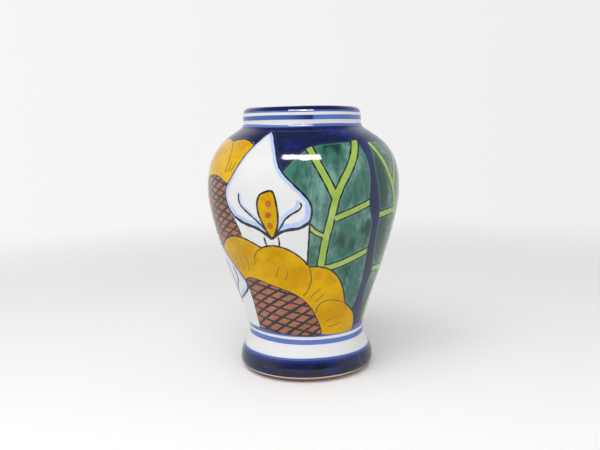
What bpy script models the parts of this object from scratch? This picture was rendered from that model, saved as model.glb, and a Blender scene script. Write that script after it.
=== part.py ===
"""A talavera vase as a potter builds it: thrown sections lapped together with slip, then glazed.

Every piece is a solid of revolution about the Z axis. The frame's origin is on that axis at the
table, +Z is up, and -Y is the vase's front. Sizes below are millimetres; the solids are metres.
"""

import math

import bmesh
import bpy

# ---------------------------------------------------------------- driving dimensions (mm)

# The clay form, foot to lip: each rise stands on the one before it, the foot edge on the table,
# and radii are of the bare clay outside.
FOOT_RADIUS = 69.0
FOOT_EDGE_HEIGHT = 9.5
FOOT_EDGE_ROUNDING = 13.0
WAIST_RISE = 31.0
WAIST_RADIUS = 59.2
BELLY_RISE = 147.5
BELLY_RADIUS = 98.0
SHOULDER_RISE = 62.5
COLLAR_RADIUS = 59.8
COLLAR_RISE = 18.5
LIP_HEIGHT = 6.5
LIP_ROUNDING = 6.8
LIP_BEAD = 1.8

# How full each stretch of the outline is: lengths of its Bezier handles. The shoulder meets the
# collar at SHOULDER_SLOPE below the horizontal.
FOOT_HANDLE = 14.6
WAIST_HANDLE_BELOW = 11.5
WAIST_HANDLE_ABOVE = 19.1
BELLY_HANDLE_BELOW = 41.7
BELLY_HANDLE_ABOVE = 35.3
SHOULDER_HANDLE = 28.7
SHOULDER_SLOPE = math.radians(29.0)

# Walls, floor and resting ring.
WALL = 5.5
COLLAR_WALL = 6.8
FLOOR_THICKNESS = 6.0
FLOOR_LEDGE_HEIGHT = 5.0
FLOOR_LEDGE_WIDTH = 8.2
FOOT_WALL = 10.8

# Lap joints between the sections: how far each starts below the waist, below the belly or above
# the neck, and how far its tongue stands up.
FOOT_JOINT_DROP = 16.1
BELLY_JOINT_DROP = 8.0
RIM_JOINT_RISE = 7.5
TONGUE = 4.0
RIM_TONGUE = 2.5
SLIP = 0.8

# Glaze: its thickness, and where the outside coat stops above the table.
GLAZE = 0.7
GLAZE_LINE_HEIGHT = 3.0

# Clearance between pieces that touch.
GAP = 0.3

# Facets round the axis, and steps along each stretch of the outline.
SEGMENTS = 48
SHARP_ANGLE = math.radians(40.0)
FOOT_EDGE_STEPS = 4
FOOT_STEPS = 4
LOWER_STEPS = 6
UPPER_STEPS = 8
LIP_STEPS = 4
BEAD_STEPS = 3

# ---------------------------------------------------------------- outline of the bare clay

MM = 0.001
JOINT_SPACE = SLIP + 2.0 * GAP
WAIST_HEIGHT = FOOT_EDGE_HEIGHT + WAIST_RISE
BELLY_HEIGHT = WAIST_HEIGHT + BELLY_RISE
NECK_HEIGHT = BELLY_HEIGHT + SHOULDER_RISE
CLAY_HEIGHT = NECK_HEIGHT + COLLAR_RISE
FOOT_BORE_RADIUS = FOOT_RADIUS - FOOT_WALL
RECESS_RADIUS = FOOT_BORE_RADIUS - FLOOR_LEDGE_WIDTH
FLOOR_HEIGHT = FLOOR_LEDGE_HEIGHT + JOINT_SPACE + FLOOR_THICKNESS
LIP_START_HEIGHT = CLAY_HEIGHT - LIP_HEIGHT
CREST_RADIUS = COLLAR_RADIUS - LIP_ROUNDING
NECK_BORE_RADIUS = COLLAR_RADIUS - COLLAR_WALL


def bezier(start, start_handle, end_handle, end, steps):
    """Points (radius, height) along a cubic curve, without its first point."""
    points = []
    for step in range(1, steps + 1):
        t = step / steps
        s = 1.0 - t
        weights = (s * s * s, 3.0 * s * s * t, 3.0 * s * t * t, t * t * t)
        corners = (start, start_handle, end_handle, end)
        points.append(tuple(sum(w * c[axis] for w, c in zip(weights, corners)) for axis in (0, 1)))
    return points


def quarter_ellipse(centre, half_width, half_height, first, last, steps):
    """Points (radius, height) from the first to the last angle, measured from the +radius side."""
    points = []
    for step in range(steps + 1):
        angle = first + (last - first) * step / steps
        radius = centre[0] + half_width * math.cos(angle)
        points.append((radius, centre[1] + half_height * math.sin(angle)))
    return points


def clay_outside():
    """The outside from the table up to the lip's crest."""
    foot_top = (FOOT_RADIUS, FOOT_EDGE_HEIGHT)
    waist = (WAIST_RADIUS, WAIST_HEIGHT)
    belly = (BELLY_RADIUS, BELLY_HEIGHT)
    neck = (COLLAR_RADIUS, NECK_HEIGHT)
    shoulder_handle = (COLLAR_RADIUS + SHOULDER_HANDLE * math.cos(SHOULDER_SLOPE),
                       NECK_HEIGHT - SHOULDER_HANDLE * math.sin(SHOULDER_SLOPE))
    edge_centre = (FOOT_RADIUS - FOOT_EDGE_ROUNDING, FOOT_EDGE_HEIGHT)
    lip_centre = (CREST_RADIUS, LIP_START_HEIGHT)
    points = quarter_ellipse(edge_centre, FOOT_EDGE_ROUNDING, FOOT_EDGE_HEIGHT,
                             -math.pi / 2.0, 0.0, FOOT_EDGE_STEPS)
    points += bezier(foot_top, (FOOT_RADIUS, FOOT_EDGE_HEIGHT + FOOT_HANDLE),
                     (WAIST_RADIUS, WAIST_HEIGHT - WAIST_HANDLE_BELOW), waist, FOOT_STEPS)
    points += bezier(waist, (WAIST_RADIUS, WAIST_HEIGHT + WAIST_HANDLE_ABOVE),
                     (BELLY_RADIUS, BELLY_HEIGHT - BELLY_HANDLE_BELOW), belly, LOWER_STEPS)
    points += bezier(belly, (BELLY_RADIUS, BELLY_HEIGHT + BELLY_HANDLE_ABOVE),
                     shoulder_handle, neck, UPPER_STEPS)
    points += quarter_ellipse(lip_centre, LIP_ROUNDING, LIP_HEIGHT, 0.0, math.pi / 2.0, LIP_STEPS)
    return points


def offset(points, distance):
    """The outline moved sideways: to its left as it is walked for a positive distance."""
    directions = []
    for (r0, z0), (r1, z1) in zip(points, points[1:]):
        length = math.hypot(r1 - r0, z1 - z0)
        directions.append(((r1 - r0) / length, (z1 - z0) / length))
    moved = []
    for index, (radius, height) in enumerate(points):
        before = directions[max(index - 1, 0)]
        after = directions[min(index, len(directions) - 1)]
        mitre = 1.0 + before[0] * after[0] + before[1] * after[1]
        moved.append((radius - distance * (before[1] + after[1]) / mitre,
                      height + distance * (before[0] + after[0]) / mitre))
    return moved


def clay_inside():
    """The inside from the floor up to the lip's crest: the wall follows the outside."""
    first = FOOT_EDGE_STEPS + 1
    last = first + FOOT_STEPS + LOWER_STEPS + UPPER_STEPS
    slope = math.tan(SHOULDER_SLOPE)
    corner_height = NECK_HEIGHT - WALL / math.cos(SHOULDER_SLOPE) + COLLAR_WALL * slope
    points = [(FOOT_BORE_RADIUS, FLOOR_HEIGHT)]
    for radius, height in offset(clay_outside()[first:last], WALL):
        in_foot = height < WAIST_HEIGHT and radius >= FOOT_BORE_RADIUS
        in_neck = height > BELLY_HEIGHT and radius <= NECK_BORE_RADIUS
        if height > FLOOR_HEIGHT and not in_foot and not in_neck:
            points.append((radius, height))
    points.append((NECK_BORE_RADIUS, corner_height))
    bead_half_width = CREST_RADIUS - NECK_BORE_RADIUS + LIP_BEAD
    points += quarter_ellipse((CREST_RADIUS, LIP_START_HEIGHT), bead_half_width, LIP_HEIGHT,
                              math.pi, math.pi / 2.0, BEAD_STEPS)
    return points


def at_height(points, height):
    """The outline's point at a height."""
    for (r0, z0), (r1, z1) in zip(points, points[1:]):
        if z0 <= height <= z1:
            share = (height - z0) / (z1 - z0)
            return (r0 + (r1 - r0) * share, height)
    raise ValueError("the outline doesn't reach this height")


def between(points, low, high):
    """The stretch of an outline between two heights, upwards."""
    inner = [point for point in points if low < point[1] < high]
    return [at_height(points, low)] + inner + [at_height(points, high)]


# ---------------------------------------------------------------- lap joints

class LapJoint:
    """A step through the wall: the lower section's tongue stands inside the upper section."""

    def __init__(self, height, tongue):
        self.height = height
        self.top = height + tongue
        outside = at_height(clay_outside(), self.top)
        inside = at_height(clay_inside(), self.top)
        self.radius = (outside[0] + inside[0]) / 2.0

    def step(self, side):
        """The step's points from outside to inside, a distance above or below its middle."""
        outside = at_height(clay_outside(), self.height + side)
        inside = at_height(clay_inside(), self.top + side)
        return [outside,
                (self.radius + side, self.height + side),
                (self.radius + side, self.top + side),
                inside]

    def slip(self):
        """The outline of the slip that fills the joint."""
        return self.step(-SLIP / 2.0) + self.step(SLIP / 2.0)[::-1]


FOOT_JOINT = LapJoint(WAIST_HEIGHT - FOOT_JOINT_DROP, TONGUE)
BELLY_JOINT = LapJoint(BELLY_HEIGHT - BELLY_JOINT_DROP, TONGUE)
NECK_JOINT = LapJoint(NECK_HEIGHT, TONGUE)
RIM_JOINT = LapJoint(NECK_HEIGHT + RIM_JOINT_RISE, RIM_TONGUE)


def section(below, above):
    """The outline of a thrown section between two lap joints."""
    half = JOINT_SPACE / 2.0
    outside = between(clay_outside(), below.height + half, above.height - half)
    inside = between(clay_inside(), below.top + half, above.top - half)
    return outside[:-1] + above.step(-half) + inside[-2:0:-1] + below.step(half)[:0:-1]


# ---------------------------------------------------------------- solids of revolution

def revolve(name, outline, material, closed=True):
    """A solid of revolution from an outline of (radius, height) in mm.

    A closed outline is a ring's section. An open one starts and ends on the axis.
    """
    mesh = bpy.data.meshes.new(name)
    shape = bmesh.new()
    rings = []
    for radius, height in outline:
        if radius == 0.0:
            rings.append([shape.verts.new((0.0, 0.0, height * MM))] * SEGMENTS)
            continue
        ring = []
        for step in range(SEGMENTS):
            angle = 2.0 * math.pi * step / SEGMENTS
            x = radius * math.cos(angle)
            y = radius * math.sin(angle)
            ring.append(shape.verts.new((x * MM, y * MM, height * MM)))
        rings.append(ring)
    followers = rings[1:] + rings[:1] if closed else rings[1:]
    for ring, follower in zip(rings, followers):
        for step in range(SEGMENTS):
            after = (step + 1) % SEGMENTS
            corners = (ring[step], ring[after], follower[after], follower[step])
            shape.faces.new(tuple(dict.fromkeys(corners)))
    bmesh.ops.recalc_face_normals(shape, faces=shape.faces)
    shape.to_mesh(mesh)
    shape.free()
    mesh.shade_smooth()
    mesh.set_sharp_from_angle(angle=SHARP_ANGLE)
    mesh.materials.append(material)
    piece = bpy.data.objects.new(name, mesh)
    bpy.context.scene.collection.objects.link(piece)
    return piece


# ---------------------------------------------------------------- materials

def principled(name, colour, roughness):
    """A material with a linear base colour and a roughness; nothing here is metal."""
    material = bpy.data.materials.new(name)
    material.use_nodes = True
    shader = material.node_tree.nodes["Principled BSDF"]
    shader.inputs["Base Color"].default_value = (*colour, 1.0)
    shader.inputs["Roughness"].default_value = roughness
    shader.inputs["Metallic"].default_value = 0.0
    return material


def bare_clay(name):
    return principled(name, (0.31, 0.105, 0.062), 0.85)


def joining_slip(name):
    return principled(name, (0.36, 0.15, 0.09), 0.90)


def white_tin_glaze(name):
    return principled(name, (0.83, 0.84, 0.86), 0.12)


# ---------------------------------------------------------------- sub-parts

def make_foot_ring():
    half = JOINT_SPACE / 2.0
    outside = [point for point in clay_outside() if point[1] < FOOT_JOINT.height - half]
    inside = between(clay_inside(), FLOOR_HEIGHT, FOOT_JOINT.top - half)
    ledge = [(FOOT_BORE_RADIUS, FLOOR_LEDGE_HEIGHT),
             (RECESS_RADIUS, FLOOR_LEDGE_HEIGHT),
             (RECESS_RADIUS, 0.0)]
    outline = outside + FOOT_JOINT.step(-half) + inside[-2::-1] + ledge
    return revolve("foot_ring", outline, bare_clay("foot_ring_clay"))


def make_floor_slab():
    radius = FOOT_BORE_RADIUS - GAP
    bottom = FLOOR_LEDGE_HEIGHT + JOINT_SPACE
    outline = [(0.0, bottom), (radius, bottom), (radius, FLOOR_HEIGHT), (0.0, FLOOR_HEIGHT)]
    return revolve("floor_slab", outline, bare_clay("floor_slab_clay"), closed=False)


def make_floor_slip():
    low = FLOOR_LEDGE_HEIGHT + GAP
    high = low + SLIP
    outer = FOOT_BORE_RADIUS - GAP
    outline = [(RECESS_RADIUS, low), (outer, low), (outer, high), (RECESS_RADIUS, high)]
    return revolve("floor_slip", outline, joining_slip("floor_slip_clay"))


def make_rim_coil():
    half = JOINT_SPACE / 2.0
    outside = between(clay_outside(), RIM_JOINT.height + half, CLAY_HEIGHT)
    inside = between(clay_inside(), RIM_JOINT.top + half, CLAY_HEIGHT)
    outline = outside + inside[-2:0:-1] + RIM_JOINT.step(half)[:0:-1]
    return revolve("rim_coil", outline, bare_clay("rim_coil_clay"))


def make_outer_glaze():
    """The coat outside, from its edge above the table to the lip's crest."""
    faces = []
    for depth in (GAP, GAP + GLAZE):
        coat = offset(clay_outside(), -depth)[:-1]
        crest = (CREST_RADIUS + GAP / 2.0, CLAY_HEIGHT + depth)
        faces.append(between(coat + [crest], GLAZE_LINE_HEIGHT, crest[1]))
    return revolve("outer_glaze", faces[1] + faces[0][::-1], white_tin_glaze("outer_glaze_white"))


def make_inner_glaze():
    """The coat inside, from the floor's centre to the lip's crest."""
    faces = []
    for depth in (GAP, GAP + GLAZE):
        coat = offset(clay_inside(), depth)[1:-1]
        corner = (FOOT_BORE_RADIUS - depth, FLOOR_HEIGHT + depth)
        crest = (CREST_RADIUS - GAP / 2.0, CLAY_HEIGHT + depth)
        faces.append([(0.0, FLOOR_HEIGHT + depth), corner] + coat + [crest])
    outline = faces[1] + faces[0][::-1]
    return revolve("inner_glaze", outline, white_tin_glaze("inner_glaze_white"), closed=False)


def make_vase():
    make_foot_ring()
    make_floor_slab()
    make_floor_slip()
    sections = (("lower_wall", FOOT_JOINT, BELLY_JOINT),
                ("upper_wall", BELLY_JOINT, NECK_JOINT),
                ("neck_collar", NECK_JOINT, RIM_JOINT))
    for name, below, above in sections:
        revolve(name, section(below, above), bare_clay(name + "_clay"))
    make_rim_coil()
    slips = (("foot_slip", FOOT_JOINT), ("belly_slip", BELLY_JOINT),
             ("neck_slip", NECK_JOINT), ("rim_slip", RIM_JOINT))
    for name, joint in slips:
        revolve(name, joint.slip(), joining_slip(name + "_clay"))
    make_outer_glaze()
    make_inner_glaze()


for old in list(bpy.data.objects):
    bpy.data.objects.remove(old, do_unlink=True)
make_vase()
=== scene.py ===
"""The looks of the talavera vase: smooth glazed surfaces and the painting, as thin pigment films.

The painting is drawn on the vase's skin in two coordinates: degrees round the axis (0 faces the
camera at -Y, positive towards +X) and millimetres above the table. All shapes are cut into one
planar mesh, each triangle takes the pigment that was laid on it last, and every pigment of every
motif becomes a closed film on the glaze.
"""

import math
import random

import bpy
import numpy as np
from mathutils import Matrix, Vector, geometry, kdtree


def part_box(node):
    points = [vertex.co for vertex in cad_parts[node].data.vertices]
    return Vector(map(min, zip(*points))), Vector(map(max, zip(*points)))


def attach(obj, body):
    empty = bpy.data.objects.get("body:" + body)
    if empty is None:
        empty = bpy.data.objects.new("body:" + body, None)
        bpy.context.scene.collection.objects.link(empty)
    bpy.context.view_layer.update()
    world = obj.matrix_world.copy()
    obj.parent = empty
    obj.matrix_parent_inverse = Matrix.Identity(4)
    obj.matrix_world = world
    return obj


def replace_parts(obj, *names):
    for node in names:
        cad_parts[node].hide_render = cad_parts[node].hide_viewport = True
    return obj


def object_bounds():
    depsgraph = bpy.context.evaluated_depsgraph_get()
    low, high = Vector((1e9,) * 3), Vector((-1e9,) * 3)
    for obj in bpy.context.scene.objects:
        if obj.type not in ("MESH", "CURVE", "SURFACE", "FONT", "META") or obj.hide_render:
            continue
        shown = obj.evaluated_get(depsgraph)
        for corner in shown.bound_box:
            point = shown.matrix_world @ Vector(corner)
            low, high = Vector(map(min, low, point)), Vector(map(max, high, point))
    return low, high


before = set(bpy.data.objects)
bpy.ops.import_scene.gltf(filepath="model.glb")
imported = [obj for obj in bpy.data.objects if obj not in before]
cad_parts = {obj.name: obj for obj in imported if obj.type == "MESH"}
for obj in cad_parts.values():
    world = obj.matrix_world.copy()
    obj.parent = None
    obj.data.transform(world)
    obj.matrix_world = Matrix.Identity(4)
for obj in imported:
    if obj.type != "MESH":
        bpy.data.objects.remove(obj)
cad_low, cad_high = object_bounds()

MM = 0.001
BODY = "root"


# ------------------------------------------------------ the vase's outline, glaze included

COAT = 1.0                                            # glaze and its gap over the clay, mm
HEIGHT = cad_high.z / MM
BELLY_RADIUS = cad_high.x / MM
FOOT_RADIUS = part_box("foot_ring")[1].x / MM + COAT
COLLAR_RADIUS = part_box("neck_collar")[1].x / MM + COAT
GLAZE_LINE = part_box("outer_glaze")[0].z / MM
FLOOR_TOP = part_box("floor_slab")[1].z / MM + COAT
FLOOR_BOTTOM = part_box("floor_slab")[0].z / MM
FOOT_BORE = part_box("floor_slab")[1].x / MM + 0.3 - COAT
FOOT_EDGE_HEIGHT = 9.5
FOOT_EDGE_ROUNDING = 13.0
WAIST_HEIGHT = 40.5
WAIST_RADIUS = 60.2
BELLY_HEIGHT = 188.0
NECK_HEIGHT = 250.5
LIP_HEIGHT = 7.5
LIP_ROUNDING = 7.8
LIP_BEAD = 2.8
NECK_BORE = COLLAR_RADIUS - 8.8
WALL = 7.5
RECESS_RADIUS = 50.0
SHOULDER_SLOPE = math.radians(29.0)
FOOT_REACH = (14.6, 11.5)                             # how far the curves hold their direction, mm
BODY_REACH = (19.1, 41.7)
SHOULDER_REACH = (35.3, 28.7)
FLOOR_CORNER = 6.0
CREST_RADIUS = COLLAR_RADIUS - LIP_ROUNDING


def bezier(start, handle_a, handle_b, end, steps=80):
    """Points (radius, height) along a cubic curve."""
    t = np.linspace(0.0, 1.0, steps + 1)[:, None]
    s = 1.0 - t
    a, b, c, d = np.array([start, handle_a, handle_b, end], float)
    return s**3 * a + 3 * s * s * t * b + 3 * s * t * t * c + t**3 * d


def ellipse(centre, half_width, half_height, first, last, steps=40):
    """Points (radius, height) of an elliptical arc between two angles in degrees."""
    angle = np.radians(np.linspace(first, last, steps + 1))
    return np.stack([centre[0] + half_width * np.cos(angle),
                     centre[1] + half_height * np.sin(angle)], 1)


def even(path, spacing):
    """A path resampled evenly by length."""
    path = np.asarray(path, float)
    steps = np.hypot(*np.diff(path, axis=0).T)
    path = path[np.concatenate([[True], steps > 1e-9])]
    length = np.concatenate([[0.0], np.cumsum(np.hypot(*np.diff(path, axis=0).T))])
    count = max(2, int(round(length[-1] / spacing)) + 1)
    spots = np.linspace(0.0, length[-1], count)
    return np.stack([np.interp(spots, length, path[:, 0]), np.interp(spots, length, path[:, 1])], 1)


def soften(path, spacing, width):
    """A path with its corners rounded by a moving average, ends kept."""
    half = max(1, int(round(width / spacing)))
    padded = np.concatenate([np.repeat(path[:1], half, 0), path, np.repeat(path[-1:], half, 0)])
    kernel = np.hanning(2 * half + 3)[1:-1]
    kernel /= kernel.sum()
    smooth = np.stack([np.convolve(padded[:, k], kernel, "valid") for k in (0, 1)], 1)
    smooth[0], smooth[-1] = path[0], path[-1]
    return smooth


def body_path():
    """The thrown body, from the waist over the belly to the neck's root."""
    waist, belly = (WAIST_RADIUS, WAIST_HEIGHT), (BELLY_RADIUS, BELLY_HEIGHT)
    reach = SHOULDER_REACH[1]
    return [
        bezier(waist, (WAIST_RADIUS, WAIST_HEIGHT + BODY_REACH[0]),
               (BELLY_RADIUS, BELLY_HEIGHT - BODY_REACH[1]), belly),
        bezier(belly, (BELLY_RADIUS, BELLY_HEIGHT + SHOULDER_REACH[0]),
               (COLLAR_RADIUS + reach * math.cos(SHOULDER_SLOPE),
                NECK_HEIGHT - reach * math.sin(SHOULDER_SLOPE)),
               (COLLAR_RADIUS, NECK_HEIGHT)),
    ]


def outside_path():
    """The glazed outside from the glaze line up to the lip's crest."""
    start = -math.degrees(math.asin((FOOT_EDGE_HEIGHT - GLAZE_LINE) / FOOT_EDGE_HEIGHT))
    foot = ellipse((FOOT_RADIUS - FOOT_EDGE_ROUNDING, FOOT_EDGE_HEIGHT), FOOT_EDGE_ROUNDING,
                   FOOT_EDGE_HEIGHT, start, 0)
    flare = bezier((FOOT_RADIUS, FOOT_EDGE_HEIGHT), (FOOT_RADIUS, FOOT_EDGE_HEIGHT + FOOT_REACH[0]),
                   (WAIST_RADIUS, WAIST_HEIGHT - FOOT_REACH[1]), (WAIST_RADIUS, WAIST_HEIGHT))
    lip = ellipse((CREST_RADIUS, HEIGHT - LIP_HEIGHT), LIP_ROUNDING, LIP_HEIGHT, 0, 90)
    return np.concatenate([foot, flare, *body_path(), lip])


def inside_path():
    """The glazed inside from the lip's crest down to the floor's centre."""
    body = np.concatenate(body_path())
    slope = np.gradient(body, axis=0)
    slope /= np.hypot(slope[:, 0], slope[:, 1])[:, None]
    wall = body + WALL * np.stack([-slope[:, 1], slope[:, 0]], 1)
    keep = (wall[:, 0] > NECK_BORE) | (wall[:, 1] < BELLY_HEIGHT)
    wall = wall[keep][::-1]
    corner = (NECK_BORE, NECK_HEIGHT - WALL / math.cos(SHOULDER_SLOPE)
              + (COLLAR_RADIUS - NECK_BORE) * math.tan(SHOULDER_SLOPE))
    lip = ellipse((CREST_RADIUS, HEIGHT - LIP_HEIGHT), LIP_BEAD, LIP_HEIGHT, 90, 180)
    floor = ellipse((FOOT_BORE - FLOOR_CORNER, FLOOR_TOP + FLOOR_CORNER), FLOOR_CORNER,
                    FLOOR_CORNER, 0, -90)
    return np.concatenate([lip, [corner], wall, floor, [(0.0, FLOOR_TOP)]])


EDGE_WIDTH = 1.0                      # rounding of the outline's corners, mm
CORNERS = (((COLLAR_RADIUS, NECK_HEIGHT), 7.0), ((CREST_RADIUS, HEIGHT), 2.6))
RIM_LEAN = 0.009                      # how far the rim is out of square with the axis, as a slope
RIM_LIFT = 0.5
LEAN_FROM, LEAN_WHOLE = 222.0, 248.0  # heights where the lean starts and is whole


class Skin:
    """A surface of revolution along a path, with the slight unevenness of thrown clay."""

    SPACING = 0.25

    def __init__(self, path):
        plain = even(path, self.SPACING)
        path = soften(plain, self.SPACING, EDGE_WIDTH)
        for corner, width in CORNERS:
            middle = int(np.argmin(np.hypot(plain[:, 0] - corner[0], plain[:, 1] - corner[1])))
            reach = np.abs(np.arange(len(path)) - middle) * self.SPACING
            share = np.clip(1.6 - reach / (1.8 * width), 0.0, 1.0)[:, None]
            path = path * (1.0 - share) + soften(plain, self.SPACING, width) * share
        self.path = path
        self.length = np.concatenate([[0.0], np.cumsum(np.hypot(*np.diff(path, axis=0).T))])
        self.top = int(np.argmax(path[:, 1]))
        self.crest = self.length[self.top]
        slope = np.gradient(path, axis=0)
        slope /= np.hypot(slope[:, 0], slope[:, 1])[:, None]
        self.normal = np.stack([slope[:, 1], -slope[:, 0]], 1)

    def along(self, height):
        """The length along the path at a height; the path rises up to its highest point."""
        return np.interp(height, self.path[:self.top + 1, 1], self.length[:self.top + 1])

    def radius(self, v):
        return np.interp(v, self.length, self.path[:, 0])

    def unevenness(self, azimuth, v):
        """How far the surface stands off its path, in mm: out of round, and the wheel's rings."""
        fade = np.clip(v / 25.0, 0.0, 1.0) * np.clip((self.length[-1] - v) / 60.0, 0.0, 1.0)
        oval = 0.25 * np.sin(2 * azimuth + 0.7) + 0.12 * np.sin(3 * azimuth + 0.02 * v)
        rings = (0.05 * np.sin(0.55 * v + 0.9 * np.sin(azimuth))
                 + 0.04 * np.sin(0.31 * v + azimuth))
        within = np.clip((v - self.crest - 22.0) / 20.0, 0.0, 1.0)
        thrown = 0.19 * within * np.sin(0.78 * v + azimuth + 0.5 * np.sin(0.11 * v))
        return fade * (oval + rings + thrown)

    def rim_share(self, v):
        """How much of the rim's lean a length along the path takes: all of it at the collar."""
        return np.interp(v, (self.along(LEAN_FROM), self.along(LEAN_WHOLE), self.crest + 2.5,
                              self.crest + 8.0), (0.0, 1.0, 1.0, 0.0))

    def points(self, azimuth_degrees, v, lift):
        """Points in metres, and their normals, at lengths along the path."""
        azimuth = np.radians(azimuth_degrees)
        r, z = (np.interp(v, self.length, self.path[:, k]) for k in (0, 1))
        nr, nz = (np.interp(v, self.length, self.normal[:, k]) for k in (0, 1))
        off = self.unevenness(azimuth, v) + lift
        r = np.maximum(r + nr * off, 0.0)
        z = z + nz * off + RIM_LEAN * self.rim_share(v) * r * (RIM_LIFT - np.sin(azimuth))
        out = np.stack([r * np.sin(azimuth), -r * np.cos(azimuth), z], -1) * MM
        normals = np.stack([nr * np.sin(azimuth), -nr * np.cos(azimuth), nz], -1)
        normals /= np.linalg.norm(normals, axis=-1, keepdims=True)
        return out, normals


SKIN = Skin(np.concatenate([outside_path(), inside_path()[1:]]))


def at(height):
    """The length along the skin at a height."""
    return float(SKIN.along(height))


CREST_AT = at(HEIGHT)
FLOOR_AT = float(SKIN.length[-1])


# ------------------------------------------------------ drawing on the skin

U_PER_DEGREE = 1.5        # the drawing plane's x for one degree, near its true size on the belly
SEAM = 226.0              # where the drawing plane is cut open, degrees, on the far side
LEVEL_BELOW = 5.0         # length along the skin under which the edge of a band doesn't lean, mm
STEP = 1.6                # spacing of points along drawn lines, mm
GRID = 3.2                # spacing of the points that fill the areas between them, mm
FILM_LIFT = 0.10
LINE_LIFT = 0.15
BAND_LIFT = 0.20
FILM_SINK = -0.06
HAND = random.Random(7)


def to_plane(points):
    """(degrees, height) points on the drawing plane."""
    points = np.asarray(points, float)
    return np.stack([points[:, 0] * U_PER_DEGREE, SKIN.along(points[:, 1])], 1)


def stretch(v):
    """True millimetres round the vase for one unit of the plane's x."""
    return np.radians(SKIN.radius(v)) / U_PER_DEGREE


def curve(points, closed=False, per_leg=10):
    """A smooth curve through (degrees, height) points."""
    p = [np.array(q, float) for q in points]
    before = [p[-1]] if closed else [2 * p[0] - p[1]]
    after = [p[0], p[1]] if closed else [2 * p[-1] - p[-2]]
    p = before + p + after
    out = []
    for a, b, c, d in zip(p, p[1:], p[2:], p[3:]):
        for k in range(per_leg):
            t = k / per_leg
            out.append(0.5 * (2 * b + (c - a) * t + (2 * a - 5 * b + 4 * c - d) * t * t
                              + (3 * b - 3 * c + d - a) * t * t * t))
    if not closed:
        out.append(p[-2])
    return np.array(out)


def ring(points):
    """A smooth closed outline through (degrees, height) points."""
    return to_plane(curve(points, closed=True))


def joined(*pieces):
    """A closed outline from curves that meet in corners."""
    return to_plane(np.concatenate([curve(p) for p in pieces]))


def stroke(points, width, taper=0.35, plane=False, shake=1.0):
    """The outline of a brush stroke along a line, width in mm, with a hand's unevenness."""
    line = np.asarray(points, float) if plane else to_plane(curve(points))
    scale = stretch(line[:, 1])
    flat = line.copy()
    across = np.diff(line[:, 0]) * (scale[1:] + scale[:-1]) / 2
    flat[:, 0] = np.concatenate([[0.0], np.cumsum(across)])
    length = np.concatenate([[0.0], np.cumsum(np.hypot(*np.diff(flat, axis=0).T))])
    count = max(3, int(round(length[-1] / STEP)) + 1)
    spots = np.linspace(0.0, length[-1], count)
    line = np.stack([np.interp(spots, length, line[:, k]) for k in (0, 1)], 1)
    flat = np.stack([np.interp(spots, length, flat[:, k]) for k in (0, 1)], 1)
    slope = np.gradient(flat, axis=0)
    slope /= np.maximum(np.hypot(slope[:, 0], slope[:, 1]), 1e-9)[:, None]
    phase, beat = HAND.uniform(0, 6.28), HAND.uniform(9.0, 17.0)
    uneven = 1.0 + shake * (0.13 * np.sin(spots / beat * 6.28 + phase)
                            + 0.06 * np.sin(spots / beat * 17.1 + 2 * phase))
    end = np.minimum(spots, length[-1] - spots) / (1.3 * width)
    half = 0.5 * width * uneven * (1.0 - taper * np.clip(1.0 - end, 0.0, 1.0) ** 2)
    sideways = np.stack([-slope[:, 1], slope[:, 0]], 1) * half[:, None]
    sideways[:, 0] /= stretch(line[:, 1])
    return np.concatenate([line + sideways, (line - sideways)[::-1]])


def inset(points, distance):
    """A smooth line through the points, moved sideways by a distance in mm, on the plane."""
    line = to_plane(curve(points))
    slope = np.gradient(line, axis=0)
    slope[:, 0] *= stretch(line[:, 1])
    slope /= np.maximum(np.hypot(slope[:, 0], slope[:, 1]), 1e-9)[:, None]
    line[:, 0] -= slope[:, 1] * distance / stretch(line[:, 1])
    line[:, 1] += slope[:, 0] * distance
    return line


def dot(centre, radius):
    """A round blob, radius in mm."""
    middle = to_plane([centre])[0]
    angle = np.linspace(0.0, 2 * math.pi, 14, endpoint=False)
    uneven = 1.0 + 0.08 * np.sin(2 * angle + centre[1])
    return middle + radius * uneven[:, None] * np.stack(
        [np.cos(angle) / stretch(middle[1]), np.sin(angle)], 1)


def inside(polygon, points):
    """Which points lie in a polygon."""
    low, high = polygon.min(0), polygon.max(0)
    near = np.all((points >= low) & (points <= high), axis=1)
    hit = np.zeros(len(points), bool)
    x, y = points[near, 0], points[near, 1]
    odd = np.zeros(len(x), bool)
    for (x0, y0), (x1, y1) in zip(polygon, np.roll(polygon, -1, 0)):
        if y0 == y1:
            continue
        crosses = (y0 > y) != (y1 > y)
        odd ^= crosses & (x < (x1 - x0) * (y - y0) / (y1 - y0) + x0)
    hit[near] = odd
    return hit


LAYERS = []               # (film name, or None for bare glaze; outline; outlines it stays inside)


def lay(film, outline, within=()):
    """Lays pigment over what is there. Without a film name the area is left as bare glaze."""
    LAYERS.append((film, outline, list(within)))


# ------------------------------------------------------ the motifs

class Place:
    """Puts a motif drawn for the front where it goes on the vase, with a little variety."""

    def __init__(self, name, turn, sway):
        self.name = name
        self.turn = turn
        self.sway = sway

    def __call__(self, points):
        out = []
        for a, z in points:
            da = self.sway * (1.3 * math.sin(z / 31.0 + 1.0) + 0.8 * math.sin(a / 17.0))
            dz = self.sway * (1.8 * math.sin(a / 14.0 + 2.0) + 1.0 * math.sin(z / 23.0))
            fade = min(1.0, max(0.0, (z - 52.0) / 15.0), max(0.0, (244.0 - z) / 15.0))
            out.append((a + self.turn + da, z + dz * fade))
        return out

    def film(self, motif):
        return f"{self.name}_{motif}"

    def paint(self, motif, points, width, within=(), **brush):
        """A brush stroke along points of the motif."""
        lay(self.film(motif), stroke(self(points), width, **brush), within)


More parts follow.
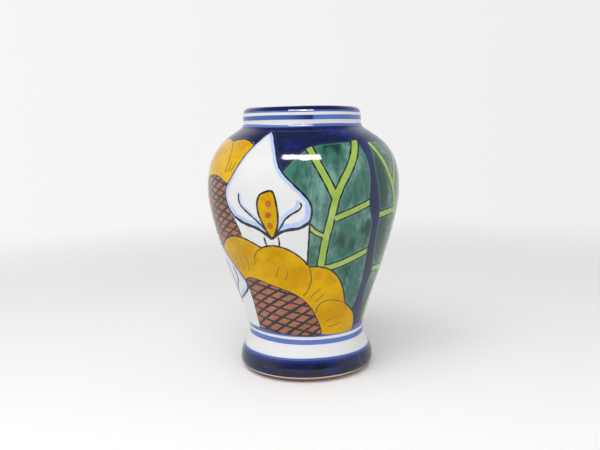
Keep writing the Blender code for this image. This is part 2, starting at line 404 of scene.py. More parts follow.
def disc(place, name, sides, box, rise, gap, width, edges):
    """A sunflower's disc: a wash, two families of slanting lines clipped to it, and its edges."""
    outline = joined(*(place(points) for points in sides))
    lay(place.film(name + "_disc"), outline)
    left, right, bottom, top = box
    for slope, spacing, thick in ((rise, gap, width), (-0.38 * rise, 0.93 * gap, 0.85 * width)):
        reach = slope * (right - left)
        level = bottom - max(reach, 0.0)
        while level < top - min(reach, 0.0):
            bend = HAND.uniform(-0.8, 0.8)
            middle = ((left + right) / 2, level + reach / 2 + bend)
            place.paint(name + "_line", [(left, level), middle, (right, level + reach)],
                        thick * HAND.uniform(0.85, 1.2), [outline], taper=0.0)
            level += spacing * HAND.uniform(0.9, 1.1)
    for points, thick in edges:
        place.paint(name + "_line", points, thick, [outline])


def calla_shape(place, name, right, left, folds, shades, spadix, dots, edge):
    """A calla lily: bare glaze, blue shading along its edge, black outline, yellow spadix."""
    outline = joined(place(right), place(left))
    lay(None, outline)
    for points, distance, width in shades:
        lay(place.film(name + "_shade"), stroke(inset(place(points), distance), width, plane=True),
            [outline])
    for points, width in folds["blue"]:
        place.paint(name + "_shade", points, width, taper=0.6)
    for points, width in folds["black"]:
        place.paint(name + "_line", points, width, taper=0.5)
    for points, width in edge:
        place.paint(name + "_line", points, width)
    body = ring(place(spadix))
    lay(place.film(name + "_spadix"), body)
    loop = curve(place(spadix), closed=True)
    lay(place.film(name + "_line"), stroke(to_plane(np.concatenate([loop, loop[:1]])), 1.9,
                                            taper=0.0, plane=True))
    for centre in dots:
        lay(place.film(name + "_dots"), dot(place([centre])[0], 3.1))


def upright_calla(place):
    """The tall calla lily and the white field under it."""
    field = [(-46, 171), (-42.5, 160), (-40, 149), (-38, 136), (0, 112), (1.7, 124), (2.3, 142),
             (3.0, 165)]
    lay(None, to_plane(place(field)))
    place.paint("calla_line", [(3.1, 164), (2.7, 150), (2.1, 136), (1.6, 120)], 1.8)
    place.paint("calla_line", [(-44.5, 168.5), (-42.1, 160), (-40, 149)], 1.2)
    for mark in ([(-23.9, 149.5), (-23.5, 145), (-22.7, 139.5)],
                 [(-15.2, 150), (-14.7, 145), (-15.1, 140)]):
        place.paint("calla_line", mark, 1.6, taper=0.6)
    right = [(-24.5, 246.5), (-20.2, 240.5), (-16.4, 230), (-14.2, 219), (-11.4, 210), (-5.8, 200),
             (0, 190), (3.4, 182), (4.3, 173), (2.6, 163.5), (-2.5, 158.5), (-9, 156.8),
             (-14.5, 153.5), (-19, 147.5)]
    left = [(-19, 147.5), (-22.5, 152.5), (-28, 158), (-36, 162), (-42.5, 167.5), (-46.8, 176),
            (-48.7, 186), (-47.6, 196), (-43.6, 205), (-39.2, 217), (-35.4, 227.5), (-31, 236.5),
            (-28, 242.5), (-24.5, 246.5)]
    folds = {
        "blue": [([(-37.1, 191), (-37.0, 184), (-35.3, 178.5), (-30.6, 172), (-24.6, 163.5),
                   (-20.8, 155)], 2.3),
                 ([(-3.3, 184.5), (-3.4, 179.5), (-6.2, 175), (-10, 171), (-12.7, 165),
                   (-14.6, 158)], 3.4)],
        "black": [([(-37.7, 190.5), (-37.8, 184), (-36.4, 178.2), (-31.8, 171.5), (-26, 163.2),
                    (-20.9, 154)], 1.7),
                  ([(-1.9, 182.6), (-1.2, 179.2), (-2.9, 175.3), (-7, 171.3), (-10.4, 166.5),
                    (-12.4, 161), (-15.6, 154)], 1.8)],
    }
    shades = [(right[:9], -2.2, 3.2), (right[7:13], -3.4, 5.2), (left[:6], -3.0, 4.4),
              (left[4:9], -1.9, 2.9), (left[8:], -1.2, 2.2)]
    edge = [(right[:7], 1.6), (right[5:11], 2.2), (right[9:], 2.9), (left[:5], 3.1),
            (left[3:7], 1.9), (left[5:9], 1.3), (left[8:], 1.3)]
    spadix = [(-17.6, 193.2), (-21, 191.9), (-24.2, 189), (-25.8, 181), (-25.5, 172), (-23.7, 163),
              (-21.2, 154), (-18.8, 148.2), (-16.6, 153.2), (-14.8, 161), (-14.2, 171),
              (-14.8, 182), (-16, 190.5)]
    dots = [(-19.3, 181.4), (-19.8, 170.5), (-19.2, 160.7)]
    calla_shape(place, "calla", right, left, folds, shades, spadix, dots, edge)


def low_calla(place):
    """The second calla lily, low at the left, and the white field under it."""
    field = [(-47.6, 92), (-47.9, 78), (-48.8, 64), (-49.6, 49.7), (-97, 49.7), (-99, 66),
             (-99, 90)]
    lay(None, to_plane(place(field)))
    place.paint("low_calla_line", [(-99, 92), (-99, 70), (-97, 50)], 1.2)
    right = [(-93, 166), (-86, 151), (-77.5, 138.5), (-69, 128.5), (-60, 117.5), (-53.2, 109),
             (-48.8, 100.5), (-49.8, 92.5), (-55, 86.8), (-63, 81), (-72, 76), (-78.5, 69.5)]
    left = [(-78.5, 69.5), (-85, 76), (-93, 84.5), (-98.5, 96), (-100, 111), (-99.2, 130),
            (-97.5, 150), (-93, 166)]
    folds = {
        "blue": [([(-64, 112.5), (-61.4, 105.5), (-63, 98.5), (-69, 92), (-75, 84)], 2.6),
                 ([(-93.5, 112), (-92.5, 104), (-88, 95), (-82.5, 85)], 2.2)],
        "black": [([(-62.6, 112), (-60, 105.5), (-61.6, 98), (-67.5, 91), (-74.5, 81.5)], 1.2),
                  ([(-94.6, 112), (-93.6, 103.5), (-89, 94), (-82.3, 82)], 1.2)],
    }
    shades = [(right[:6], -1.9, 2.7), (right[4:11], -2.6, 3.8), (left[1:5], -2.3, 3.2),
              (left[4:], -1.6, 2.2)]
    edge = [(right[:7], 1.4), (right[5:], 2.1), (left[:5], 2.1), (left[3:], 1.4)]
    spadix = [(-78, 117), (-81.5, 115.5), (-84.6, 110), (-85.6, 101), (-84, 90), (-81, 78),
              (-78.6, 71.5), (-76, 78), (-74, 88), (-73.4, 99), (-74.4, 109), (-76, 115)]
    dots = [(-79.3, 106.5), (-79.6, 96), (-79, 86)]
    calla_shape(place, "low_calla", right, left, folds, shades, spadix, dots, edge)


def petals(place, name, shapes):
    """Sunflower petals: amber wash, black where they meet the ground, olive strokes and folds."""
    for outline, edge, folds, strokes in shapes:
        lay(place.film(name + "_petals"), ring(place(outline)))
        for points in strokes:
            place.paint(name + "_folds", points, 1.05, taper=0.8)
        for points in folds:
            place.paint(name + "_folds", points, 1.25, taper=0.5)
        place.paint(name + "_line", edge, 1.6)


def low_sunflower(place):
    """The large sunflower at the foot of the picture."""
    petals(place, "low_sunflower", [
        ([(-71, 127.5), (-64, 137), (-57, 143), (-50, 147), (-44, 147.9), (-37, 145.8),
          (-31, 141.8), (-24, 136), (-20, 112), (-30, 102), (-48, 102), (-59, 112)],
         [(-71, 128), (-64, 137.2), (-57, 143.2), (-50, 147), (-44, 147.9), (-37, 145.8),
          (-31, 141.8), (-26.6, 138.3)],
         [],
         [[(-52, 126), (-52.6, 119), (-51.8, 113)], [(-46.5, 128), (-47.2, 120), (-46.6, 112.5)],
          [(-41, 128.5), (-40.3, 120), (-41.6, 112.5)]]),
        ([(2, 120.3), (9, 120), (16, 116.7), (22, 109.5), (27, 99), (30.2, 89), (33, 78.5),
          (22, 74), (8, 66), (0, 82), (-6, 92), (-3, 108)],
         [(1.8, 120.4), (9, 120), (16, 116.7), (22, 109.5), (27, 99), (30.2, 89), (33, 78.5)],
         [],
         [[(11.2, 97.3), (7, 93), (3.4, 87.2)], [(13.4, 91.5), (10.8, 87.2), (6.8, 83)]]),
        ([(-2.2, 89.5), (1.2, 95), (3.7, 102.5), (4, 111), (2.8, 119), (-0.4, 126.5), (-6, 134),
          (-12, 139), (-18.5, 141.2), (-24.5, 139.6), (-30.2, 135), (-33.3, 128.5), (-34.2, 119),
          (-32, 108), (-25, 99), (-12, 92)],
         [(-27.5, 138), (-23.5, 140.1), (-18.5, 141.2), (-12, 139), (-6, 134), (-0.4, 126.5),
          (1.9, 121.3)],
         [[(-26.5, 138), (-30.2, 135), (-33.3, 128.5), (-34.3, 120)],
          [(2.2, 121), (3.8, 114), (3.9, 105), (1.4, 95), (-2.2, 89.5)]],
         [[(-16.8, 121.3), (-18, 116), (-19.9, 108.5)],
          [(-11.3, 117.6), (-11.8, 112), (-14.2, 106)]]),
        ([(33, 78.6), (39.5, 72.3), (45.2, 65.5), (48.8, 57), (50, 50.5), (48.2, 46.6), (40, 45.9),
          (28, 46.2), (14.4, 48), (10.5, 58), (7.9, 68.5), (9.4, 78), (14, 83.2), (19.5, 84.2),
          (26.5, 82)],
         [(33, 78.6), (39.5, 72.3), (45.2, 65.5), (48.8, 57), (50, 50.5), (48.2, 46.8)],
         [[(33, 78.7), (26.5, 82), (19.5, 84.2), (14, 83.2), (9.6, 78.5), (8, 70)]],
         [[(28, 66.3), (22.5, 64), (17.2, 61)], [(33, 58.6), (26, 55.6), (19.3, 55)]]),
    ])
    top = [(-48.2, 103), (-44.5, 105.4), (-40.5, 106.2), (-33, 104.6), (-25, 101.2), (-15, 96.6),
           (-7, 91.6), (0, 84.2), (5, 76), (8.2, 68.5), (10.7, 62), (13, 55.5), (14.4, 50.5)]
    bottom = [(14.4, 50.5), (12.5, 46.3), (4, 45.9), (-12, 46.7), (-30, 47.6), (-49.6, 49.6)]
    left = [(-49.6, 49.6), (-49, 62), (-48.2, 74), (-47.9, 87), (-48.2, 103)]
    disc(place, "low_sunflower", [top, bottom, left], (-51, 16, 46, 107), 0.80, 10.2, 2.6,
         [(top, 1.9), (left, 2.4), (bottom, 2.2)])


def high_sunflower(place):
    """The sunflower high at the left, behind the calla lily."""
    petals(place, "high_sunflower", [
        ([(-97, 189), (-100, 178), (-99.6, 163), (-97, 149), (-90, 138), (-84, 150), (-84, 178)],
         [(-96.8, 190), (-100, 178), (-99.6, 163), (-97, 149), (-91, 139)],
         [],
         [[(-97, 172), (-93, 170)], [(-97, 160), (-92.5, 160)]]),
        ([(-86, 234.5), (-93, 229), (-97.8, 218), (-99.3, 203), (-96.8, 188), (-88, 176),
          (-80, 190), (-80, 215)],
         [(-86, 234.5), (-93, 229), (-97.8, 218), (-99.3, 203), (-96.8, 189)],
         [[(-96.8, 189), (-93, 183), (-90, 181)]],
         [[(-92, 210), (-89, 203), (-88, 197)], [(-87, 214), (-85.5, 208)]]),
        ([(-33.5, 234), (-38, 237.6), (-45, 239.3), (-52, 238.6), (-57, 236), (-60, 222),
          (-56, 205), (-50, 199.5), (-44, 198), (-36, 214)],
         [(-34, 235.0), (-38, 237.6), (-45, 239.3), (-52, 238.6), (-56, 237)],
         [],
         [[(-41.6, 220.5), (-43, 215), (-45.2, 209.5)],
          [(-45.2, 219.5), (-46.2, 214.5), (-47.6, 209.5)],
          [(-38.8, 219), (-40.2, 214.5), (-42.2, 210.5)]]),
        ([(-56, 237.4), (-63, 239.2), (-71, 239.8), (-80, 238), (-87, 233), (-90.5, 222),
          (-88, 205), (-80, 198), (-70, 204), (-60, 205.5), (-52, 203), (-49.6, 211), (-48.6, 220),
          (-50.2, 229.5), (-53, 234.5)],
         [(-56, 237.4), (-63, 239.2), (-71, 239.8), (-80, 238), (-87, 233)],
         [[(-56, 237), (-52.4, 233), (-49.6, 227), (-48.7, 220.5), (-49.4, 213.5), (-50.4, 208)],
          [(-86.5, 233.5), (-90.3, 223), (-89.5, 212)]],
         [[(-63, 221), (-64.5, 215), (-64.5, 209)], [(-69, 224), (-71, 217), (-70.5, 210)],
          [(-77, 221), (-78.5, 214), (-77.5, 207)]]),
    ])
    top = [(-44, 197.5), (-48, 199.6), (-52, 202.6), (-57, 205.4), (-63, 206.3), (-71, 204.6),
           (-80, 199.5), (-86.5, 190.5), (-90.4, 178), (-91.3, 164), (-89, 149), (-84, 136)]
    bottom = [(-84, 136), (-70, 124), (-46, 138), (-36, 145), (-40, 160), (-44, 180), (-44, 197.5)]
    disc(place, "high_sunflower", [top, bottom], (-93, -34, 122, 208), 0.95, 7.6, 2.1, [(top, 2.0)])


def leaf(place, name, outline, veins):
    """A broad leaf: a green wash crossed by pale veins in black outline."""
    shape = to_plane(np.concatenate([curve(place(points)) for points in outline]))
    lay(place.film(name + "_wash"), shape)
    place.paint(name + "_line", outline[0], 1.1)
    for points, width in veins:
        place.paint(name + "_line", points, width + 3.1, [shape], taper=0.0, shake=0.45)
    for points, width in veins:
        place.paint(name + "_veins", points, width, [shape], taper=0.0, shake=0.3)


def near_leaf(place):
    """The leaf right of the calla lily."""
    top = [(-13, 208), (-9, 214.5), (-5, 221.8), (0, 228.2), (5, 231.8), (12, 234), (22, 235),
           (31, 235.6), (38.3, 236.8)]
    right = [(38.3, 236.8), (39.2, 226), (39.8, 211), (39.2, 195), (38.4, 184), (39.3, 172),
             (42, 162), (43.2, 148), (43, 133), (44.3, 118), (45.4, 103), (45.4, 89), (44, 76),
             (40, 66)]
    rest = [(40, 66), (28, 70), (0, 112), (-4, 150), (-8, 185), (-13, 208)]
    veins = [
        ([(37.6, 238.5), (33.6, 229.8), (29.4, 219.5), (25.4, 209.5), (21.4, 199.5), (18.2, 189),
          (16.4, 179), (15.0, 168), (13.6, 157), (12.2, 146), (11.2, 135), (10.4, 124),
          (9.8, 112)], 6.0),
        ([(3.2, 234), (5.6, 225.5), (8.6, 215.5), (11.6, 205.5), (14.6, 195), (16.8, 186)], 5.6),
        ([(17, 166), (22, 169.2), (29, 173.2), (36, 177.4), (41, 180.5)], 4.9),
        ([(10.5, 117.5), (17.5, 119.3), (24, 121.8), (31, 125.3), (38, 128.7), (46, 132.4)], 5.2),
        ([(2.4, 160.8), (5.0, 156), (8.0, 152.6), (12.4, 149.6)], 3.2),
    ]
    leaf(place, "near_leaf", [top, right, rest], veins)


def far_leaf(place):
    """The leaf at the right, past the narrow gap of cobalt."""
    top = [(47.6, 234.2), (54, 235), (62, 234.8), (71, 232.5), (80, 227), (87, 217), (91, 204)]
    right = [(91, 204), (92.6, 185), (91.5, 164), (92, 140), (91, 118), (88.5, 96), (86, 74),
             (83, 49.8)]
    bottom = [(83, 49.8), (65.5, 49.8)]
    left = [(65.5, 49.8), (60.6, 61), (57, 73), (54.9, 86), (54.6, 98), (55.4, 109), (52.4, 122),
            (50, 136), (48.6, 150), (48.4, 166), (46.9, 179), (45.4, 192), (44.3, 206), (44.8, 218),
            (46.4, 228), (47.6, 234.2)]
    veins = [
        ([(47.9, 237), (51.8, 224), (55.4, 211.5), (59, 199.5), (62.6, 187.5), (66, 176),
          (69.4, 164), (71.6, 150), (72.8, 133), (72.6, 112), (71, 90), (69.6, 70), (69, 47)], 5.2),
        ([(61.5, 187), (64.4, 201), (67.6, 211), (72, 219.5), (79, 227.5), (84, 231)], 4.4),
        ([(47, 165.6), (56, 166.8), (69.5, 168)], 5.3),
        ([(54, 109.6), (63, 109.4), (72.5, 107)], 5.0),
        ([(71.8, 150), (79, 155), (86, 158.5), (95, 161)], 4.4),
        ([(72.8, 118), (80, 122.5), (86, 124.5), (95, 126)], 4.4),
        ([(71, 84), (78, 86.5), (92, 87)], 4.2),
    ]
    leaf(place, "far_leaf", [top, right, bottom, left], veins)


def band(film, low, high, wave, start, lean=0.0):
    """A line painted all round on the wheel, from the brush's first touch at an azimuth.

    It may lean: a positive lean lowers it at +X and lifts it at -X, in mm.
    """
    azimuth = np.arange(SEAM - 360.0, SEAM + 0.01, 2.0)
    turn = np.radians(azimuth - start)
    sway = wave * (0.6 * np.sin(turn * 2 + low) + 0.4 * np.sin(turn * 5 + high))
    drop = lean * np.sin(np.radians(azimuth))
    low_drop = drop if low > LEVEL_BELOW else 0.0
    lower = np.stack([azimuth * U_PER_DEGREE, low + 0.7 * sway - low_drop], 1)
    upper = np.stack([azimuth * U_PER_DEGREE, high + sway - drop], 1)
    lay(film, np.concatenate([lower, upper[::-1]]))


def paint_vase():
    """Everything that is painted, from the ground up."""
    band("cobalt_ground", at(47.0), at(252.0), 0.5, 0.0)
    band("shoulder_edge", at(250.4), at(253.0), 1.0, 40.0)
    band("foot_stripe_high", at(45.0), at(50.2), 0.35, -130.0, 0.9)
    places = (Place("front", 0.0, 0.0), Place("back", 180.0, 1.0))
    for place in places:
        far_leaf(place)
    for place in places:
        near_leaf(place)
    for place in places:
        high_sunflower(place)
        upright_calla(place)
        low_sunflower(place)
        low_calla(place)
    band("collar_stripe", at(257.0), at(261.3), 0.35, 12.0)
    band("rim_band", at(264.7), CREST_AT + 4.6, 0.35, 48.0)
    band("rim_edge", at(264.2), at(265.6), 0.3, 48.0)
    band("foot_stripe_low", at(37.0), at(42.0), 0.35, 55.0, 0.9)
    band("foot_band", 4.3, at(23.6), 0.3, 51.0, 0.7)
    band("foot_edge", at(22.7), at(24.5), 0.35, 51.0, 0.7)
    lay("foot_edge", stroke([(50.4, 22), (51.2, 14), (52.0, 7)], 0.6))


# ------------------------------------------------------ films of pigment

OUTLINE_STEP = 0.8        # shortest and longest side of an outline in the drawing, mm
OUTLINE_SIDE = 3.1
LEFT = (SEAM - 360.0) * U_PER_DEGREE
RIGHT = SEAM * U_PER_DEGREE
LOW, HIGH = -1.0, CREST_AT + 8.0


def copies(outline):
    """An outline where it falls on the drawing plane, on both sides of a seam that it crosses."""
    width = RIGHT - LEFT
    for turn in (-width, 0.0, width):
        moved = outline + np.array([turn, 0.0])
        if moved[:, 0].max() > LEFT + 0.01 and moved[:, 0].min() < RIGHT - 0.01:
            yield moved


def thinned(outline, spacing):
    """An outline without points closer together than a spacing."""
    keep = [0]
    for k in range(1, len(outline)):
        if np.hypot(*(outline[k] - outline[keep[-1]])) >= spacing:
            keep.append(k)
    if len(keep) > 3 and np.hypot(*(outline[keep[-1]] - outline[0])) < 0.5 * spacing:
        keep.pop()
    return outline[keep]


def filled(outline, spacing):
    """A closed outline with points added so that none of its sides is longer than a spacing."""
    out = []
    for p, q in zip(outline, np.roll(outline, -1, 0)):
        parts = max(1, int(math.ceil(np.hypot(*(q - p)) / spacing)))
        out.extend(p + (q - p) * (k / parts) for k in range(parts))
    return np.array(out)


def tight(v):
    """Whether the outline turns fast there: the foot's edge and the lip."""
    return v < 20.0 or v > at(262.5)


def rows_of_grid():
    """Heights along the skin of the rows of filling points, closer where the outline turns fast."""
    rows = [LOW]
    while rows[-1] < HIGH:
        step = 0.6 if rows[-1] > CREST_AT - 6.0 else 0.9 if tight(rows[-1]) else GRID * 0.87
        rows.append(rows[-1] + step)
    return rows


def drawing():
    """The planar mesh of all that is painted: points, triangles, and each triangle's layer."""
    points, edges = [], []
    outlines = [(k, film, part, within) for k, (film, outline, within) in enumerate(LAYERS)
                for part in copies(filled(thinned(outline, OUTLINE_STEP), OUTLINE_SIDE))]
    for _, _, part, _ in outlines:
        first = len(points)
        points.extend(part)
        edges.extend((first + k, first + (k + 1) % len(part)) for k in range(len(part)))
    for side in (LEFT, RIGHT):
        first = len(points)
        seam = np.arange(LOW, HIGH + 1.0, 2.0)
        points.extend(np.stack([np.full_like(seam, side), seam], 1))
        edges.extend((first + k, first + k + 1) for k in range(len(seam) - 1))
    taken = kdtree.KDTree(len(points))
    for k, (u, v) in enumerate(points):
        taken.insert((u, v, 0.0), k)
    taken.balance()
    for k, v in enumerate(rows_of_grid()):
        across = GRID / max(0.35, float(stretch(v)))
        for u in np.arange(LEFT + 0.5 * across * (k % 2), RIGHT, across):
            if taken.find((u, v, 0.0))[2] > (0.5 if tight(v) else 1.3):
                points.append(np.array([u, v]))
    flat = [Vector(p) for p in points]
    verts, _, faces = geometry.delaunay_2d_cdt(flat, edges, [], 0, 1e-5, False)[:3]
    verts = np.array([v[:] for v in verts])
    faces = np.array([f[:] for f in faces])
    a, b, c = verts[faces[:, 0]], verts[faces[:, 1]], verts[faces[:, 2]]
    turn = (b - a)[:, 0] * (c - a)[:, 1] - (b - a)[:, 1] * (c - a)[:, 0]
    faces[turn < 0] = faces[turn < 0][:, ::-1]
    middle = (a + b + c) / 3.0
    in_plane = (np.abs(turn) > 1e-7) & (middle[:, 0] > LEFT) & (middle[:, 0] < RIGHT)
    faces, middle = faces[in_plane], middle[in_plane]
    label = np.full(len(faces), -1)
    for k, film, part, within in outlines:
        hit = np.flatnonzero(inside(part, middle))
        for limit in within:
            held = np.zeros(len(hit), bool)
            for shape in copies(limit):
                held |= inside(shape, middle[hit])
            hit = hit[held]
        label[hit] = k if film else -1
    return verts, faces, label


def fans(faces):
    """Numbers the corners of triangles so that corners joined through an edge share a number."""
    parent = list(range(faces.size))

    def root(k):
        while parent[k] != k:
            parent[k] = parent[parent[k]]
            k = parent[k]
        return k

    seen = {}
    for t, triangle in enumerate(faces.tolist()):
        for k in range(3):
            i, j = triangle[k], triangle[(k + 1) % 3]
            other = seen.pop((j, i), None)
            here = (3 * t + k, 3 * t + (k + 1) % 3)
            if other is None:
                seen[(i, j)] = here
            else:
                parent[root(here[0])] = root(other[1])
                parent[root(here[1])] = root(other[0])
    names, number = {}, np.empty(faces.size, int)
    for k in range(faces.size):
        number[k] = names.setdefault(root(k), len(names))
    return number.reshape(faces.shape), sorted(seen.values())


def new_piece(name, points, faces, normals, material):
    """A mesh object with a normal for each point, riding on the vase."""
    mesh = bpy.data.meshes.new(name)
    mesh.from_pydata(points.tolist(), [], faces)
    mesh.shade_smooth()
    if normals is not None:
        corner_points = np.empty(len(mesh.loops), int)
        mesh.loops.foreach_get("vertex_index", corner_points)
        mesh.normals_split_custom_set(normals[corner_points].tolist())
    mesh.materials.append(material)
    piece = bpy.data.objects.new(name, mesh)
    bpy.context.scene.collection.objects.link(piece)
    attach(piece, BODY)
    return piece


def add_attribute(piece, name, values):
    """Stores a number for each point of a piece, for its material to read."""
    data = piece.data.attributes.new(name, "FLOAT", "POINT").data
    data.foreach_set("value", np.asarray(values, np.float32))


def make_film(name, verts, faces, lift, material, start):
    """A closed film on the skin: a top, an underside sunk in the glaze, and a wall all round."""
    corners, rim = fans(faces)
    count = int(corners.max()) + 1
    flat = np.empty((count, 2))
    number = corners.ravel()
    flat[number] = verts[faces.ravel()]
    top, normals = SKIN.points(flat[:, 0] / U_PER_DEGREE, flat[:, 1], lift)
    bottom, _ = SKIN.points(flat[:, 0] / U_PER_DEGREE, flat[:, 1], FILM_SINK)
    border = sorted({int(number[k]) for pair in rim for k in pair})
    tree = kdtree.KDTree(len(border))
    for k in border:
        tree.insert(Vector(top[k]), k)
    tree.balance()
    edge = np.array([tree.find(Vector(p))[2] / MM for p in top])
    solid = corners.tolist() + (corners[:, ::-1] + count).tolist()
    for i, j in rim:
        i, j = int(number[i]), int(number[j])
        solid.append((j, i, i + count, j + count))
    points = np.concatenate([top, bottom])
    piece = new_piece(name, points, solid, np.concatenate([normals, -normals]), material)
    add_attribute(piece, "edge_mm", np.concatenate([edge, edge]))
    travel = ((flat[:, 0] / U_PER_DEGREE - start) % 360.0) / 360.0
    add_attribute(piece, "travel", np.concatenate([travel, travel]))
    return piece


# ------------------------------------------------------ glaze and clay bodies

SHELL_SEGMENTS = 300
SHELL_THICKNESS = 0.9
SHELL_EDGE = 0.15         # thickness of the coat where it ends
SHELL_SINK = 0.16         # how far the glaze gives way to the thick band at the lip, mm
GLAZE_START = 3.0         # length along the skin where the glaze begins above the bare clay
TURNED_SEGMENTS = 240
WOBBLE = 0.06             # how far turned clay is out of round, mm


def shell(name, first, last, material, spacing):
    """A closed coat on the skin between two lengths along its path."""
    rows = []
    v = first
    while v < last - 1e-6:
        rows.append(v)
        v += 1.1 if v < 22.0 or at(258.0) < v < CREST_AT + 16.0 else spacing
    rows.append(last)
    rows = np.array(rows)
    azimuth = np.arange(SHELL_SEGMENTS) * 360.0 / SHELL_SEGMENTS
    a, v = np.meshgrid(azimuth, rows)
    sink = -SHELL_SINK * np.clip(1.5 - np.abs(v - CREST_AT) / 4.0, 0.0, 1.0)
    outer, normals = SKIN.points(a, v, sink)
    ends = np.minimum(np.minimum(v - first, last - v), SHELL_THICKNESS)
    depth = np.sqrt(SHELL_THICKNESS**2 - (SHELL_THICKNESS - ends)**2)
    inner, _ = SKIN.points(a, v, -np.maximum(depth, SHELL_EDGE))
    count = len(rows)
    on_axis = float(SKIN.radius(last)) < 0.05
    points = np.concatenate([outer.reshape(-1, 3), inner.reshape(-1, 3)])
    corner_normals = np.concatenate([normals.reshape(-1, 3), -normals.reshape(-1, 3)])
    n = SHELL_SEGMENTS
    base = count * n
    outer_end, inner_end = base - n, 2 * base - n
    faces = []
    for r in range(count - 1):
        for k in range(n):
            i, j = r * n + k, r * n + (k + 1) % n
            faces.append((i, j, j + n, i + n))
            faces.append((base + i + n, base + j + n, base + j, base + i))
    for k in range(n):
        i, j = k, (k + 1) % n
        faces.append((base + i, base + j, j, i))
        if not on_axis:
            faces.append((outer_end + i, outer_end + j, inner_end + j, inner_end + i))
    if on_axis:
        def merged(face):
            """A face whose points on the axis have become one point."""
            return tuple(dict.fromkeys(
                outer_end if outer_end <= k < base else min(k, inner_end) for k in face))

        faces = [face for face in map(merged, faces) if len(face) > 2]
        used = sorted({k for face in faces for k in face})
        names = {k: x for x, k in enumerate(used)}
        faces = [tuple(names[k] for k in face) for face in faces]
        points, corner_normals = points[used], corner_normals[used]
    return new_piece(name, points, faces, corner_normals, material)


def turned(name, outline, material, closed):
    """A solid turned on the wheel, from a section of (radius, height) points in mm."""
    segments = TURNED_SEGMENTS
    azimuth = np.arange(segments) * 2 * math.pi / segments
    points, rings = [], []
    for r, z in outline:
        if r <= 0.0:
            rings.append([len(points)] * segments)
            points.append((0.0, 0.0, z * MM))
            continue
        rings.append(list(range(len(points), len(points) + segments)))
        radius = r + WOBBLE * np.sin(3 * azimuth + 0.4 * z) * min(1.0, r / 20.0)
        points.extend(np.stack([radius * np.sin(azimuth), -radius * np.cos(azimuth),
                                np.full(segments, z)], 1) * MM)
    faces = []
    follow = rings[1:] + rings[:1] if closed else rings[1:]
    for ring_a, ring_b in zip(rings, follow):
        for k in range(segments):
            j = (k + 1) % segments
            face = tuple(dict.fromkeys((ring_a[k], ring_a[j], ring_b[j], ring_b[k])))
            if len(face) > 2:
                faces.append(face)
    piece = new_piece(name, np.array(points), faces, None, material)
    piece.data.set_sharp_from_angle(angle=math.radians(40.0))
    return piece


# ------------------------------------------------------ materials

class Nodes:
    """A node tree, with the few kinds of node that the looks need."""

    def __init__(self, tree):
        self.tree = tree

    def node(self, kind, **settings):
        made = self.tree.nodes.new(kind)
        for key, value in settings.items():
            setattr(made, key, value)
        return made

    def put(self, socket, value):
        if isinstance(value, bpy.types.NodeSocket):
            self.tree.links.new(value, socket)
        elif isinstance(value, tuple) and len(value) == 3 and socket.type == "RGBA":
            socket.default_value = (*value, 1.0)
        else:
            socket.default_value = value

    def between(self, value, low, high, start=0.0, end=1.0):
        """Maps a value smoothly from low..high to start..end."""
        mapped = self.node("ShaderNodeMapRange", interpolation_type="SMOOTHSTEP")
        self.put(mapped.inputs["Value"], value)
        for key, limit in (("From Min", low), ("From Max", high), ("To Min", start),
                           ("To Max", end)):
            mapped.inputs[key].default_value = limit
        return mapped.outputs["Result"]

    def times(self, a, b):
        made = self.node("ShaderNodeMath", operation="MULTIPLY")
        self.put(made.inputs[0], a)
        self.put(made.inputs[1], b)
        return made.outputs[0]

    def mix(self, share, a, b):
        mixed = self.node("ShaderNodeMix", data_type="RGBA")
        self.put(mixed.inputs["Factor"], share)
        self.put(mixed.inputs["A"], a)
        self.put(mixed.inputs["B"], b)
        return mixed.outputs["Result"]


class Surface(Nodes):
    """A material built from procedural nodes in the object's own coordinates."""

    def __init__(self, name, roughness, ior=1.5):
        self.material = bpy.data.materials.new(name)
        self.material.use_nodes = True
        super().__init__(self.material.node_tree)
        self.shader = self.tree.nodes["Principled BSDF"]
        self.shader.inputs["Roughness"].default_value = roughness
        self.shader.inputs["IOR"].default_value = ior
        self.shader.inputs["Metallic"].default_value = 0.0
        self.place = self.tree.nodes.new("ShaderNodeTexCoord").outputs["Object"]

    def noise(self, scale, squash=(1.0, 1.0, 1.0), shift=0.0, detail=4.0, rough=0.55):
        mapping = self.node("ShaderNodeMapping")
        self.put(mapping.inputs["Vector"], self.place)
        mapping.inputs["Scale"].default_value = tuple(scale * k for k in squash)
        mapping.inputs["Location"].default_value = (shift, 1.7 * shift, 2.3 * shift)
        texture = self.node("ShaderNodeTexNoise")
        self.put(texture.inputs["Vector"], mapping.outputs["Vector"])
        texture.inputs["Scale"].default_value = 1.0
        texture.inputs["Detail"].default_value = detail
        texture.inputs["Roughness"].default_value = rough
        return texture.outputs["Fac"]

    def height(self):
        """How far above the table a point is, in metres."""
        split = self.node("ShaderNodeSeparateXYZ")
        self.put(split.inputs[0], self.place)
        return split.outputs["Z"]

    def attribute(self, name):
        return self.node("ShaderNodeAttribute", attribute_name=name).outputs["Fac"]

    def colour(self, value):
        self.put(self.shader.inputs["Base Color"], value)

    def bump(self, height, strength, distance):
        made = self.node("ShaderNodeBump")
        made.inputs["Strength"].default_value = strength
        made.inputs["Distance"].default_value = distance
        self.put(made.inputs["Height"], height)
        self.put(self.shader.inputs["Normal"], made.outputs["Normal"])


GLAZE_ROUGHNESS = 0.09
RIM_STAIN = (0.005, 0.008, 0.050)     # the glaze under the band at the lip
STAIN_OUTSIDE = (0.2662, 0.2666)      # heights in metres over which the glaze turns to that colour
STAIN_INSIDE = (0.2670, 0.2674)
CLAY_SHADE_HEIGHTS = (0.0016, 0.0034)       # heights over which painted shade darkens the bare clay towards the table


def glazed(name, ior=1.5):
    """Fired tin glaze: glossy, with a faint orange-peel surface."""
    surface = Surface(name, GLAZE_ROUGHNESS, ior)
    surface.bump(surface.noise(150.0, detail=2.0), 0.11, 0.0006)
    return surface


